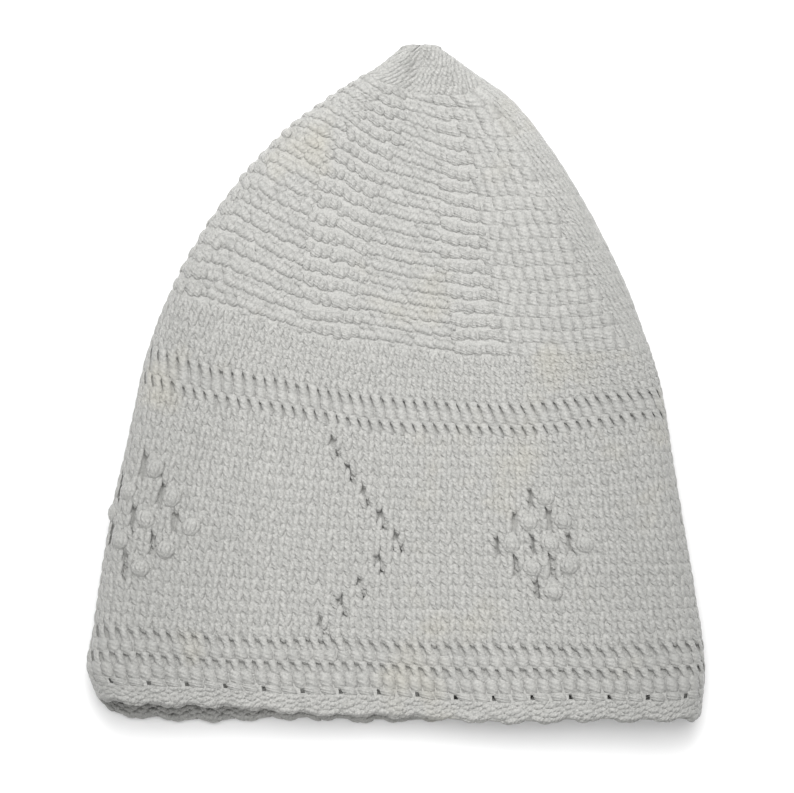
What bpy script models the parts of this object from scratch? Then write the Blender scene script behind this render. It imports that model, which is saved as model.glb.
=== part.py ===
"""A kufi cap crocheted in one piece from cotton, laid flat the way it is stored.

The tip points to +Y, the opening to -Y, and the lower layer lies on z = 0. The cap is one
closed wall around a flat hollow. Rounds are counted by how far they lie down the cap from
its tip, and places around a round run from the left fold, over the upper layer to the
right fold at one half, and back along the lower layer.
"""

import math
from collections import namedtuple

import bmesh
import bpy
from mathutils import Matrix, Vector

# Driving dimensions, in metres.
RIM_WIDTH = 0.250
HEIGHT = 0.274
FOLD_THICKNESS = 0.022
WALL = 0.0030
LAYER_SHIFT = 0.0085

RIB_PITCH = 0.0056
RIB_DEPTH = 0.0012
TIP_TO_FIRST_RIB = 0.0240
PLAIN_ROUNDS_OVER_OPENWORK = 0.0200

OPENWORK_UP_FROM_RIM = 0.0182
OPENWORK_ROUND_PITCH = 0.0094
OPENWORK_GROOVE_WIDTH = 0.0036
OPENWORK_GROOVE_DEPTH = 0.0010
BAND_DEPTH = 0.0892
DIAMONDS_UNDER_MIDDLE = 0.0028

EYELET_UP_FROM_RIM = 0.0089
EYELET_WIDTH = 0.0022
SCALLOP_DEPTH = 0.0013
RIM_ROUNDING = 0.0009

BOBBLE_WIDTH = 0.0070
BOBBLE_HEIGHT = 0.0030
ROUND_PITCH = 0.0045

# The counts: scallops along the rim, stitches in the widest round, and the patterns' steps in
# stitches and rounds.
SCALLOPS = 34
STITCHES_TO_A_SCALLOP = 3
STITCHES = SCALLOPS * STITCHES_TO_A_SCALLOP
STEP_COLUMNS = 1.5
STEP_ROUNDS = 2.0
CHEVRON_BEFORE_DIAMOND = 12.7
CHEVRON_STEPS = 4
EYELET_BEFORE_CLUSTER = 1.3

# Each diamond's middle, as a share of the way around the band, and the stitches from one of its
# columns to the next, which is more where the fold stretches it.
Diamond = namedtuple("Diamond", "around columns")
ON_LEFT_FOLD = Diamond(0.0430, 1.9)
ON_UPPER_LAYER = Diamond(0.3725, STEP_COLUMNS)
UNDERNEATH = Diamond(0.6960, STEP_COLUMNS)

# The outline. Every column is a share of a named size: down, left_up and right_up of HEIGHT,
# left and right of RIM_WIDTH, measured from the centre line, and thick of FOLD_THICKNESS.
# A round climbs by left_up and right_up from the middle of the upper layer to its folds.
Section = namedtuple("Section", "down left right left_up right_up thick")
SECTIONS = (
    Section(0.010, 0.006, 0.074, 0.004, 0.004, 0.40),
    Section(0.054, -0.030, 0.123, 0.022, 0.016, 0.48),
    Section(0.098, -0.070, 0.190, 0.045, 0.016, 0.55),
    Section(0.157, -0.119, 0.253, 0.075, 0.004, 0.62),
    Section(0.216, -0.176, 0.301, 0.095, -0.006, 0.68),
    Section(0.282, -0.237, 0.341, 0.104, -0.008, 0.74),
    Section(0.356, -0.298, 0.375, 0.104, 0.000, 0.80),
    Section(0.437, -0.355, 0.404, 0.095, 0.010, 0.85),
    Section(0.529, -0.402, 0.431, 0.080, 0.019, 0.90),
    Section(0.629, -0.431, 0.449, 0.064, 0.017, 0.93),
    Section(0.732, -0.460, 0.469, 0.047, 0.010, 0.96),
    Section(0.821, -0.479, 0.486, 0.036, 0.005, 0.98),
    Section(0.892, -0.491, 0.498, 0.029, 0.003, 1.00),
    Section(0.944, -0.501, 0.500, 0.027, 0.001, 1.00),
    Section(0.991, -0.487, 0.495, 0.030, -0.002, 0.98),
)
TIP_RING, RIM_RING = SECTIONS[0].down, SECTIONS[-1].down

# The crown's panels: where each one ends around a round, and the share of RIB_DEPTH that its
# ribs have. Deep ribs and fine ones take turns.
Panel = namedtuple("Panel", "ends ribs")
PANELS = (
    Panel(0.045, 1.00),
    Panel(0.150, 0.45),
    Panel(0.236, 1.00),
    Panel(0.287, 0.45),
    Panel(0.338, 1.00),
    Panel(0.447, 0.45),
    Panel(0.545, 1.00),
    Panel(0.645, 0.45),
    Panel(0.735, 1.00),
    Panel(0.840, 0.45),
    Panel(0.925, 1.00),
    Panel(1.000, 0.45),
)

# The upper layer sinks between its folds by this share of the hollow's height.
SAG_SHARE = 0.375
# Where the lower layer's shift towards the opening dies out, as a share of the half width, and
# how sharply it grows down the cap and down around the fold.
SHIFT_ENDS = 0.35
SHIFT_GROWTH_DOWN = 3
SHIFT_GROWTH_UNDER = 4
# How many points a round has at the tip, in the crown and below it, as shares of STITCHES.
TIP_SHARE, SHOULDER_SHARE, CROWN_SHARE, LINING_SHARE = 1 / 8, 1 / 4, 1 / 2, 1 / 3
# A bobble's foot reaches this share of the wall into it.
BOBBLE_FOOT = 0.5

COTTON_COLOUR = (0.79, 0.785, 0.755, 1.0)


def shape_at(down):
    """The outline's section at any depth, on smooth curves through the table's rows."""
    below = [k for k in range(len(SECTIONS) - 1) if SECTIONS[k].down <= down]
    k = below[-1] if below else 0
    step = SECTIONS[k + 1].down - SECTIONS[k].down
    t = (down - SECTIONS[k].down) / step

    def slope(row, column):
        before, after = SECTIONS[max(row - 1, 0)], SECTIONS[min(row + 1, len(SECTIONS) - 1)]
        return (after[column] - before[column]) / (after.down - before.down)

    values = [down]
    for column in range(1, len(Section._fields)):
        start, end = SECTIONS[k][column], SECTIONS[k + 1][column]
        values.append(
            (2 * t**3 - 3 * t**2 + 1) * start
            + (t**3 - 2 * t**2 + t) * step * slope(k, column)
            + (3 * t**2 - 2 * t**3) * end
            + (t**3 - t**2) * step * slope(k + 1, column)
        )
    return Section(*values)


def outside(down, around):
    """A point on the cap's smooth outer surface."""
    shape = shape_at(down)
    left, right = shape.left * RIM_WIDTH, shape.right * RIM_WIDTH
    half = (right - left) / 2
    radius = min(shape.thick * FOLD_THICKNESS / 2, 0.9 * half)
    flat = half - radius
    quarter = math.pi * radius / 2
    along = (around % 1.0) * (4 * flat + 4 * quarter)
    upper = along <= 2 * flat + 2 * quarter
    if not upper:
        along = 4 * flat + 4 * quarter - along
    if along < quarter:
        x, lift = -flat - radius * math.cos(along / radius), radius * math.sin(along / radius)
    elif along <= quarter + 2 * flat:
        x, lift = along - quarter - flat, radius
    else:
        turned = (along - quarter - 2 * flat) / radius
        x, lift = flat + radius * math.sin(turned), radius * math.cos(turned)
    z = radius + (lift if upper else -lift)
    if upper and abs(x) < flat:
        z -= SAG_SHARE * (2 * radius - 2 * WALL) * (1 - (x / flat) ** 2) ** 2
    share = x / half
    lean, bow = (shape.left_up - shape.right_up) / 2, (shape.left_up + shape.right_up) / 2
    climb = bow * share**2 - lean * share
    low = (1 - z / (2 * radius)) ** SHIFT_GROWTH_UNDER
    shift = LAYER_SHIFT * down**SHIFT_GROWTH_DOWN * low * max(0.0, SHIFT_ENDS - share) / (1 + SHIFT_ENDS)
    return Vector(((left + right) / 2 + x, HEIGHT * (0.5 - down + climb) - shift, z))


def outward(down, around):
    """The surface's outward direction there."""
    step = 0.002
    across = outside(down, around + step) - outside(down, around - step)
    along = outside(min(down + step, RIM_RING), around) - outside(max(down - step, TIP_RING), around)
    return along.cross(across).normalized()


def sunk(down, around, depth):
    """The surface point, moved into the wall by depth. The resting side never goes below 0."""
    point = outside(down, around) - outward(down, around) * depth
    point.z = max(point.z, 0.0)
    return point


def rib_share(around):
    """The share of RIB_DEPTH in the panel at that place around."""
    return next(panel.ribs for panel in PANELS if around % 1.0 < panel.ends)


def scallop(around):
    """How far the rim draws back between its scallops."""
    return SCALLOP_DEPTH * (0.5 + 0.5 * math.cos(2 * math.pi * around * SCALLOPS))


def up_from_rim(distance):
    return RIM_RING - distance / HEIGHT


def points_in_round(down, crown_end):
    """The number of points in a round of the outer wall."""
    if down < 0.04:
        return round(STITCHES * TIP_SHARE)
    if down < 0.09:
        return round(STITCHES * SHOULDER_SHARE)
    return round(STITCHES * CROWN_SHARE) if down < crown_end else STITCHES


def outer_rounds():
    """The rounds of the outer wall from the tip to the rim, each with its depth around it."""
    lower_openwork = up_from_rim(OPENWORK_UP_FROM_RIM)
    pitch = OPENWORK_ROUND_PITCH / HEIGHT
    upper_openwork = lower_openwork - (OPENWORK_ROUND_PITCH + BAND_DEPTH) / HEIGHT
    crown_end = upper_openwork - pitch - PLAIN_ROUNDS_OVER_OPENWORK / HEIGHT
    first_rib = TIP_TO_FIRST_RIB / HEIGHT
    rounds = [(TIP_RING, 0.0), (0.054, 0.0)]
    ribs = max(2, round((crown_end - first_rib) * HEIGHT / RIB_PITCH))
    rib = (crown_end - first_rib) / ribs
    for k in range(ribs):
        rounds.append((first_rib + k * rib, 0.0))
        rounds.append((first_rib + (k + 0.5) * rib, RIB_DEPTH))
    rounds.append((crown_end, 0.0))
    groove = OPENWORK_GROOVE_WIDTH / 2 / HEIGHT
    for middle in (upper_openwork - pitch, upper_openwork, lower_openwork - pitch, lower_openwork):
        rounds.append((middle - groove, 0.0))
        rounds.append((middle, OPENWORK_GROOVE_DEPTH))
        rounds.append((middle + groove, 0.0))
    for share in (0.25, 0.5, 0.75):
        rounds.append((upper_openwork + share * (lower_openwork - pitch - upper_openwork), 0.0))
    rounds.append((up_from_rim(EYELET_UP_FROM_RIM), 0.0))
    rounds.append((up_from_rim(EYELET_UP_FROM_RIM / 2), 0.0))
    rounds.sort()
    return rounds, crown_end


def zip_rounds(mesh, first, second):
    """Faces between two rounds, which may have different numbers of points."""
    n, m = len(first), len(second)
    if n == m:
        for k in range(n):
            mesh.faces.new((first[k], first[(k + 1) % n], second[(k + 1) % n], second[k]))
        return
    i = j = 0
    while i < n or j < m:
        if j == m or (i < n and (i + 1) * m <= (j + 1) * n):
            mesh.faces.new((first[i % n], first[(i + 1) % n], second[j % m]))
            i += 1
        else:
            mesh.faces.new((first[i % n], second[(j + 1) % m], second[j % m]))
            j += 1


def close_tip(mesh, ring, place):
    """Closes a wall's first round on one point."""
    tip = mesh.verts.new(place)
    for k in range(len(ring)):
        mesh.faces.new((ring[k], ring[(k + 1) % len(ring)], tip))


def add_object(name, mesh, material):
    bmesh.ops.recalc_face_normals(mesh, faces=mesh.faces)
    data = bpy.data.meshes.new(name)
    mesh.to_mesh(data)
    mesh.free()
    data.materials.append(material)
    data.shade_smooth()
    made = bpy.data.objects.new(name, data)
    bpy.context.scene.collection.objects.link(made)
    return made


def cap_wall(material):
    """The whole wall: outer rounds, the rounded scalloped rim and the lining side."""
    mesh = bmesh.new()
    rounds, crown_end = outer_rounds()
    rings = []
    for down, depth in rounds:
        count = points_in_round(down, crown_end)
        ring = []
        for k in range(count):
            around = k / count
            ribbed = rib_share(around) if down < crown_end else 1.0
            ring.append(mesh.verts.new(sunk(down, around, depth * ribbed)))
        rings.append(ring)
    first_middle = (outside(TIP_RING, 0.25) + outside(TIP_RING, 0.75)) / 2
    close_tip(mesh, rings[0], Vector((first_middle.x, HEIGHT / 2, first_middle.z)))

    for inset, back in ((0.0, RIM_ROUNDING), (WALL / 2, 0.0), (WALL, RIM_ROUNDING)):
        ring = []
        for k in range(STITCHES):
            around = k / STITCHES
            point = sunk(RIM_RING, around, inset)
            point.y += back + scallop(around)
            ring.append(mesh.verts.new(point))
        rings.append(ring)

    lining = [section.down for section in SECTIONS[1:-1]]
    count = round(STITCHES * LINING_SHARE)
    for down in reversed(lining):
        rings.append([mesh.verts.new(sunk(down, k / count, WALL)) for k in range(count)])
    last_middle = (outside(lining[0], 0.25) + outside(lining[0], 0.75)) / 2
    tip_side = Vector((last_middle.x, last_middle.y + WALL, last_middle.z))
    for first, second in zip(rings, rings[1:]):
        zip_rounds(mesh, first, second)
    close_tip(mesh, rings[-1], tip_side)
    return add_object("crochet_cap", mesh, material)


def pattern_middle():
    lower_openwork = up_from_rim(OPENWORK_UP_FROM_RIM) - OPENWORK_ROUND_PITCH / HEIGHT
    return lower_openwork - (BAND_DEPTH / 2 - DIAMONDS_UNDER_MIDDLE) / HEIGHT


def diamond_places(diamond):
    """Three by three clusters on their corner, counted in stitches and rounds."""
    step = STEP_ROUNDS * ROUND_PITCH / HEIGHT
    return [
        (diamond.around + (i - j) * diamond.columns / STITCHES, pattern_middle() + (i + j) * step)
        for i in (-1, 0, 1)
        for j in (-1, 0, 1)
    ]


def chevron_places(diamond):
    """Clusters along the chevron that points at a diamond."""
    point = diamond.around - CHEVRON_BEFORE_DIAMOND / STITCHES
    step = STEP_ROUNDS * ROUND_PITCH / HEIGHT
    return [
        (point - abs(k) * STEP_COLUMNS / STITCHES, pattern_middle() + k * step)
        for k in range(-CHEVRON_STEPS, CHEVRON_STEPS + 1)
    ]


def frame_at(down, around, lift):
    """A turned frame on the surface, its Z pointing outwards, lifted by that length."""
    out = outward(down, around)
    across = (outside(down, around + 0.002) - outside(down, around - 0.002)).normalized()
    turn = Matrix((across, out.cross(across), out)).transposed()
    return Matrix.Translation(outside(down, around) + out * lift) @ turn.to_4x4()


def bobbles(material):
    """The raised clusters of the diamonds that show, and of the chevron's point."""
    mesh = bmesh.new()
    places = diamond_places(ON_LEFT_FOLD) + diamond_places(ON_UPPER_LAYER)
    places.append(chevron_places(ON_UPPER_LAYER)[CHEVRON_STEPS])
    for around, down in places:
        place = frame_at(down, around, 0.0)
        for vert in bmesh.ops.create_icosphere(mesh, subdivisions=2, radius=1.0)["verts"]:
            reach = BOBBLE_HEIGHT if vert.co.z > 0 else WALL * BOBBLE_FOOT
            grown = Vector((vert.co.x * BOBBLE_WIDTH / 2, vert.co.y * BOBBLE_WIDTH / 2, vert.co.z * reach))
            vert.co = place @ grown
    return as_tool(add_object("bobble_shapes", mesh, material))


def eyelets(material):
    """Square holes through the wall: one in each scallop, and one beside each chevron cluster."""
    mesh = bmesh.new()
    places = [(k / SCALLOPS, up_from_rim(EYELET_UP_FROM_RIM)) for k in range(SCALLOPS)]
    beside = EYELET_BEFORE_CLUSTER / STITCHES
    for diamond in (ON_LEFT_FOLD, ON_UPPER_LAYER, UNDERNEATH):
        places += [(around - beside, down) for around, down in chevron_places(diamond)]
    size = Matrix.Diagonal((EYELET_WIDTH, EYELET_WIDTH, 3 * WALL, 1.0))
    for around, down in places:
        bmesh.ops.create_cube(mesh, size=1.0, matrix=frame_at(down, around, -WALL / 2) @ size)
    return as_tool(add_object("eyelet_shapes", mesh, material))


def as_tool(shape):
    shape.hide_render = True
    shape.display_type = "WIRE"
    return shape


def combine(target, tool, operation):
    step = target.modifiers.new(tool.name, "BOOLEAN")
    step.operation = operation
    step.solver = "EXACT"
    step.object = tool


def cotton():
    material = bpy.data.materials.new("cotton")
    material.use_nodes = True
    shader = material.node_tree.nodes["Principled BSDF"]
    shader.inputs["Base Color"].default_value = COTTON_COLOUR
    shader.inputs["Roughness"].default_value = 0.9
    shader.inputs["Metallic"].default_value = 0.0
    return material


def main():
    for old in list(bpy.data.objects):
        bpy.data.objects.remove(old)
    material = cotton()
    cap = cap_wall(material)
    combine(cap, bobbles(material), "UNION")
    combine(cap, eyelets(material), "DIFFERENCE")


main()
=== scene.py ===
"""The looks of a kufi cap crocheted from off-white cotton yarn, laid flat on a pale floor.

The tip points to +Y and the opening to -Y. Every stitch follows one smooth surface, which takes
its size from the frame. Rounds are counted by how far they lie down the cap from its tip, and
places around a round run from the left fold, over the upper layer to the right fold at one
half, and back along the lower layer.
"""

import math
from collections import namedtuple

import bpy
import numpy as np
from bpy.props import FloatProperty, FloatVectorProperty, IntProperty, PointerProperty
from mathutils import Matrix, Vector


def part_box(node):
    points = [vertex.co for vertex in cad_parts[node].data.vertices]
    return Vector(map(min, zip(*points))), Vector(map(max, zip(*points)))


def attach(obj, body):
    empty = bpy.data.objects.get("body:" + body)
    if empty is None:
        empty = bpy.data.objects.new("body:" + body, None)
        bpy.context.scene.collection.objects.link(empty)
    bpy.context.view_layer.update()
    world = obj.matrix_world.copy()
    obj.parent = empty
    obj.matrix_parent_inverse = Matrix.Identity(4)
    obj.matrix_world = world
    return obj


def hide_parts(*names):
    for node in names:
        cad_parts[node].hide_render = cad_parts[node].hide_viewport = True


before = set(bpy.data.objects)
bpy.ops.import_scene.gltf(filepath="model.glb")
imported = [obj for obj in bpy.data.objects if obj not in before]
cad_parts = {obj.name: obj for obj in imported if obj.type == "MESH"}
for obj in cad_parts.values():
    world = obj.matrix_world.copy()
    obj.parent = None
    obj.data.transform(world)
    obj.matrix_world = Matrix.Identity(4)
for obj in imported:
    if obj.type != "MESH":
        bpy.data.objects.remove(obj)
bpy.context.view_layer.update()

bl_info = {
    "name": "Crocheted kufi cap",
    "version": (1, 0, 0),
    "blender": (4, 5, 0),
    "location": "3D View > Sidebar > Kufi cap",
    "description": "Crochets a kufi cap stitch by stitch around its packed solid",
    "category": "Object",
}

NODE = "crochet_cap"
NODE_LOW, NODE_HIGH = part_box(NODE)

# The outline. Every column is a share of a size: down, left_up and right_up of the height, left
# and right of the rim's width, measured from the centre line, and thick of the fold's thickness.
# A round climbs by left_up and right_up from the middle of the upper layer to its folds.
Section = namedtuple("Section", "down left right left_up right_up thick")
SECTIONS = (
    Section(0.010, 0.006, 0.074, 0.004, 0.004, 0.40),
    Section(0.054, -0.030, 0.123, 0.022, 0.016, 0.48),
    Section(0.098, -0.070, 0.190, 0.045, 0.016, 0.55),
    Section(0.157, -0.119, 0.253, 0.075, 0.004, 0.62),
    Section(0.216, -0.176, 0.301, 0.095, -0.006, 0.68),
    Section(0.282, -0.237, 0.341, 0.104, -0.008, 0.74),
    Section(0.356, -0.298, 0.375, 0.104, 0.000, 0.80),
    Section(0.437, -0.355, 0.404, 0.095, 0.010, 0.85),
    Section(0.529, -0.402, 0.431, 0.080, 0.019, 0.90),
    Section(0.629, -0.431, 0.449, 0.064, 0.017, 0.93),
    Section(0.732, -0.460, 0.469, 0.047, 0.010, 0.96),
    Section(0.821, -0.479, 0.486, 0.036, 0.005, 0.98),
    Section(0.892, -0.491, 0.498, 0.029, 0.003, 1.00),
    Section(0.944, -0.501, 0.500, 0.027, 0.001, 1.00),
    Section(0.991, -0.487, 0.495, 0.030, -0.002, 0.98),
)
TIP_RING, RIM_RING = SECTIONS[0].down, SECTIONS[-1].down
STITCHES_TO_A_SCALLOP = 3

# The upper layer sinks between its folds, and the lower layer's shift towards the opening dies
# out, by the same shares and powers as in the solid.
SAG_SHARE, SHIFT_ENDS, SHIFT_GROWTH_DOWN, SHIFT_GROWTH_UNDER = 0.375, 0.35, 3, 4

# The largest share of the half width that a fold's radius takes, the step that the surface's
# directions are measured over, and the middle of the upper layer.
FOLD_SHARE, DIRECTION_STEP, UPPER_MIDDLE = 0.9, 0.002, 0.25

# The rounds stray up and down in waves, by turns around the cap and down it. The rim draws back
# between its scallops by a power of a cosine. Nothing lies closer to the tip than this share of
# the tip ring, and from a depth on the stitches are sunk in to the full.
DRIFT_WAVES, SCALLOP_POWER, CLOSEST_TO_TIP, SUNK_FROM = ((3, 2.3), (7, -4.1)), 1.5, 0.02, 0.2

# The crown's wedges: where each one ends around the crown's lowest round, where it ends around
# the rounds from WEDGES_TURN_FROM up, and what its rounds look like.
RIBS, SCALES, STROKES, BRICKS = "ribs", "scales", "strokes", "bricks"
WEDGES_TURN_FROM = 0.23
Wedge = namedtuple("Wedge", "low high looks")
WEDGES = (
    Wedge(0.041, 0.022, RIBS),
    Wedge(0.149, 0.088, SCALES),
    Wedge(0.198, 0.170, RIBS),
    Wedge(0.297, 0.260, SCALES),
    Wedge(0.347, 0.317, RIBS),
    Wedge(0.462, 0.424, BRICKS),
    Wedge(0.545, 0.520, STROKES),
    Wedge(0.645, 0.640, BRICKS),
    Wedge(0.735, 0.735, RIBS),
    Wedge(0.840, 0.840, SCALES),
    Wedge(0.925, 0.925, RIBS),
    Wedge(1.000, 1.000, SCALES),
)

# The diamonds' middles around the band, and the stitches between their columns. A chevron stands
# so many stitches before each one, with so many steps to an arm. Beside every cluster and every
# step of a chevron lie two holes, so many rounds below it and stitches aside of it.
Diamond = namedtuple("Diamond", "around columns")
ON_LEFT_FOLD = Diamond(0.0430, 1.9)
ON_UPPER_LAYER = Diamond(0.3725, 1.5)
UNDERNEATH = Diamond(0.6960, 1.5)
DIAMONDS = (ON_LEFT_FOLD, ON_UPPER_LAYER, UNDERNEATH)
CHEVRON_BEFORE_DIAMOND, CHEVRON_STEPS, CHEVRON_COLUMNS = 12.7, 4, 1.5
ROUNDS_TO_A_STEP = 2
CLUSTER_HOLES = ((-0.3, -1.25), (0.7, -1.25))
CHEVRON_HOLES = ((-0.6, -0.2), (0.6, 0.3))

# Soft creases: from one depth and place around to another, how deep and how wide, in metres.
# They start and end in slopes of these steepnesses.
Crease = namedtuple("Crease", "start_down start_around end_down end_around deep wide")
CREASES = (Crease(0.0, 0.25, 0.105, 0.150, 0.0022, 0.0026),)
CREASE_STARTS, CREASE_ENDS = 8, 4

# One ring of a strand: its middle across the stitch, down the round and out of the cloth, and
# its half width and half thickness. Down is in heights of the round, the rest in stitch widths.
# A plain stitch's legs stand a share of its width to both sides, and a post of the upper
# openwork is by so much wider than one of the lower.
Ring = namedtuple("Ring", "across down out wide thick")
HALF, CLOSER = 0.5, 1.35
LEFT_LEG = (
    Ring(-0.15, -0.82, -0.30, 0.12, 0.10),
    Ring(-0.16, -0.58, 0.02, 0.24, 0.19),
    Ring(-0.21, -0.18, 0.12, 0.31, 0.23),
    Ring(-0.27, 0.20, 0.07, 0.31, 0.22),
    Ring(-0.31, 0.54, -0.08, 0.25, 0.18),
    Ring(-0.33, 0.80, -0.34, 0.12, 0.10),
)
RIGHT_LEG = (
    Ring(0.03, -0.82, -0.30, 0.12, 0.10),
    Ring(0.08, -0.58, 0.03, 0.24, 0.19),
    Ring(0.20, -0.18, 0.14, 0.31, 0.24),
    Ring(0.32, 0.20, 0.08, 0.31, 0.22),
    Ring(0.42, 0.54, -0.08, 0.25, 0.18),
    Ring(0.48, 0.80, -0.34, 0.12, 0.10),
)
LEGS = (("left_leg", LEFT_LEG, -0.25), ("right_leg", RIGHT_LEG, 0.25))
OPEN_POST = (
    Ring(-0.34, -0.86, -0.30, 0.24, 0.12),
    Ring(-0.27, -0.60, 0.04, 0.42, 0.20),
    Ring(-0.13, -0.20, 0.12, 0.32, 0.28),
    Ring(0.06, 0.20, 0.12, 0.32, 0.28),
    Ring(0.20, 0.60, 0.02, 0.42, 0.20),
    Ring(0.28, 0.84, -0.30, 0.24, 0.12),
)
CLOSE_POST = tuple(ring._replace(wide=CLOSER * ring.wide) for ring in OPEN_POST)
SMOOTH_POST = (
    Ring(-0.17, -0.68, -0.28, 0.30, 0.12),
    Ring(-0.12, -0.50, 0.06, 0.50, 0.20),
    Ring(-0.04, -0.16, 0.13, 0.56, 0.24),
    Ring(0.05, 0.18, 0.11, 0.56, 0.23),
    Ring(0.11, 0.48, -0.02, 0.48, 0.19),
    Ring(0.14, 0.66, -0.30, 0.28, 0.12),
)
BRICK = (
    Ring(-0.10, -0.62, -0.34, 0.54, 0.10),
    Ring(-0.06, -0.44, 0.04, 0.74, 0.17),
    Ring(-0.02, -0.12, 0.13, 0.80, 0.21),
    Ring(0.02, 0.18, 0.12, 0.80, 0.20),
    Ring(0.06, 0.44, 0.02, 0.72, 0.16),
    Ring(0.10, 0.62, -0.34, 0.52, 0.10),
)
SCALE = (
    Ring(-0.80, -0.34, -0.16, 0.20, 0.10),
    Ring(-0.52, -0.22, 0.03, 0.62, 0.15),
    Ring(-0.16, -0.06, 0.09, 0.76, 0.17),
    Ring(0.22, 0.10, 0.07, 0.74, 0.16),
    Ring(0.54, 0.24, -0.02, 0.56, 0.14),
    Ring(0.80, 0.36, -0.20, 0.18, 0.10),
)
FINE_LEFT = (
    Ring(-0.40, -0.74, -0.34, 0.14, 0.09),
    Ring(-0.38, -0.50, -0.04, 0.27, 0.15),
    Ring(-0.30, -0.14, 0.14, 0.32, 0.18),
    Ring(-0.20, 0.20, 0.12, 0.32, 0.18),
    Ring(-0.12, 0.50, -0.06, 0.27, 0.14),
    Ring(-0.08, 0.72, -0.34, 0.14, 0.10),
)
FINE_RIGHT = tuple(ring._replace(across=ring.across + HALF) for ring in FINE_LEFT)
TIP_LEFT = (
    Ring(-0.42, -0.80, -0.28, 0.12, 0.09),
    Ring(-0.37, -0.54, 0.04, 0.26, 0.17),
    Ring(-0.26, -0.08, 0.11, 0.31, 0.20),
    Ring(-0.15, 0.34, 0.03, 0.30, 0.18),
    Ring(-0.06, 0.76, -0.32, 0.12, 0.10),
)
TIP_RIGHT = tuple(ring._replace(across=ring.across + HALF) for ring in TIP_LEFT)
RIB_KNOB = (
    Ring(-0.08, -0.42, -0.18, 0.20, 0.10),
    Ring(-0.06, -0.28, 0.12, 0.42, 0.20),
    Ring(0.00, -0.04, 0.24, 0.48, 0.25),
    Ring(0.05, 0.18, 0.12, 0.42, 0.20),
    Ring(0.08, 0.34, -0.20, 0.20, 0.10),
)
HEM_STRAND = (
    Ring(-0.62, 0.06, -0.18, 0.16, 0.08),
    Ring(-0.36, 0.03, 0.02, 0.32, 0.09),
    Ring(0.00, 0.00, 0.05, 0.38, 0.11),
    Ring(0.36, -0.03, 0.02, 0.32, 0.09),
    Ring(0.62, -0.06, -0.18, 0.16, 0.08),
)

# The crown's stitches: how thick they are, how far a round's two rows of scales stand apart and
# overlap, how far bricks stagger, and how far the two knobs on a ribbed stitch stand aside.
SCALE_THICK, STROKE_THICK, KNOB_THICK, BRICK_THICK = 0.46, 0.50, 1.15, 0.9
SCALE_ASIDE, SCALE_OVERLAP, BRICK_STAGGER, KNOB_ASIDE = 0.25, 0.1, 0.25, 0.3

# The tip's stitches: the fewest to a round, how thick they are, and how they lean.
TIP_LEAST, TIP_THICK, TIP_LEAN = 6, 0.8, -0.9

# A diamond's cluster: its loops, how wide they spread and how far they stand out, its height in
# rounds and its thickness. Its rings: down, their share of that spread and stand, and how wide.
PUFF_LOOPS, PUFF_WIDE, PUFF_OUT, PUFF_TALL, PUFF_THICK = 4, 0.50, 0.40, 1.05, 1.6
PUFF_LEAST, PUFF_ROUND = 0.25, 0.5
PUFF_RINGS = (
    (-0.78, -0.4, 0.12),
    (-0.56, 0.50, 0.26),
    (-0.18, 1.0, 0.31),
    (0.20, 0.95, 0.31),
    (0.54, 0.45, 0.26),
    (0.78, -0.4, 0.12),
)

# A chevron's low bumps and the one at its point: how wide and thick in shares of a cluster, how
# far aside of their holes in stitches, and how far they are sunk in, in metres.
BUMP_WIDE, BUMP_THICK, BUMP_ASIDE, BUMP_SUNK = 0.8, 0.8, 0.8, 0.0012
POINT_ASIDE, POINT_SUNK = 1.2, 0.0006

# Around a hole, in stitches and rounds: where no leg stands, where the cloth is cut, and where
# it is dented. The cloth slopes into a slit or an eyelet over a share of its height, and an
# eyelet takes a share of its round.
HOLE_REACH, CUT_REACH, DENT_REACH = (0.15, 0.40), (0.20, 0.30), (0.34, 0.60)
SLIT_SLOPE, EYELET_SHARE = 0.2, 0.7

# How far stitches stray: in shares of a stitch for each kind, and outwards in metres.
STRAY, POST_STRAY, HEM_STRAY, CROWN_STRAY, PUFF_STRAY = 0.10, 0.06, 0.12, 0.14, 0.15
LIFT_STRAY = 0.0006

# The posts beside an eyelet: their width and how far aside they stand, in stitches, and how
# thick they are. The posts between two rounds of slits stand on by a share of a stitch. The
# strands around the hem's edge: how deep they lie and how far up from the rim, in metres, and
# the stitches that they shift by for each metre of depth. The inner side's rounds come last.
EYELET_POST_WIDE, EYELET_POST_ASIDE, EYELET_POST_THICK, BETWEEN_SHIFT = 1.15, 0.86, 0.8, 0.30
HEM_EDGE = ((0.0005, 0.0001), (0.0011, -0.0002), (0.0017, 0.0001))
HEM_SHIFT = 200
INNER_ROUNDS = 8

# The cloth: columns to a stitch, the height of its rows, and where it starts in the tip ring.
CLOTH_COLUMNS, CLOTH_ROW, CLOTH_START = 3, 0.0026, 0.1

# The strands' rings have so many corners.
SIDES = 6

# The stage. The floor lies a little under the cap, and the camera looks straight down at it.
FLOOR_SIZE, FLOOR_UP, FLOOR_ROUGHNESS, WORLD_STRENGTH = 6.0, -0.0005, 0.8, 0.45
LENS, SENSOR, FRAME_WIDTH, FARTHEST = 150.0, 36.0, 0.3209, 20.0
VIEW_MIDDLE, VIEW_UP = (0.0004, -0.00566), 0.011
Lamp = namedtuple("Lamp", "name place size power")
LAMPS = (
    Lamp("key_light", (0.00, 0.75, 0.85), 0.8, 5.0),
    Lamp("top_light", (0.00, 0.45, 1.10), 1.2, 14.0),
    Lamp("front_light", (-0.3, -1.2, 0.7), 1.0, 3.5),
)

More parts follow.
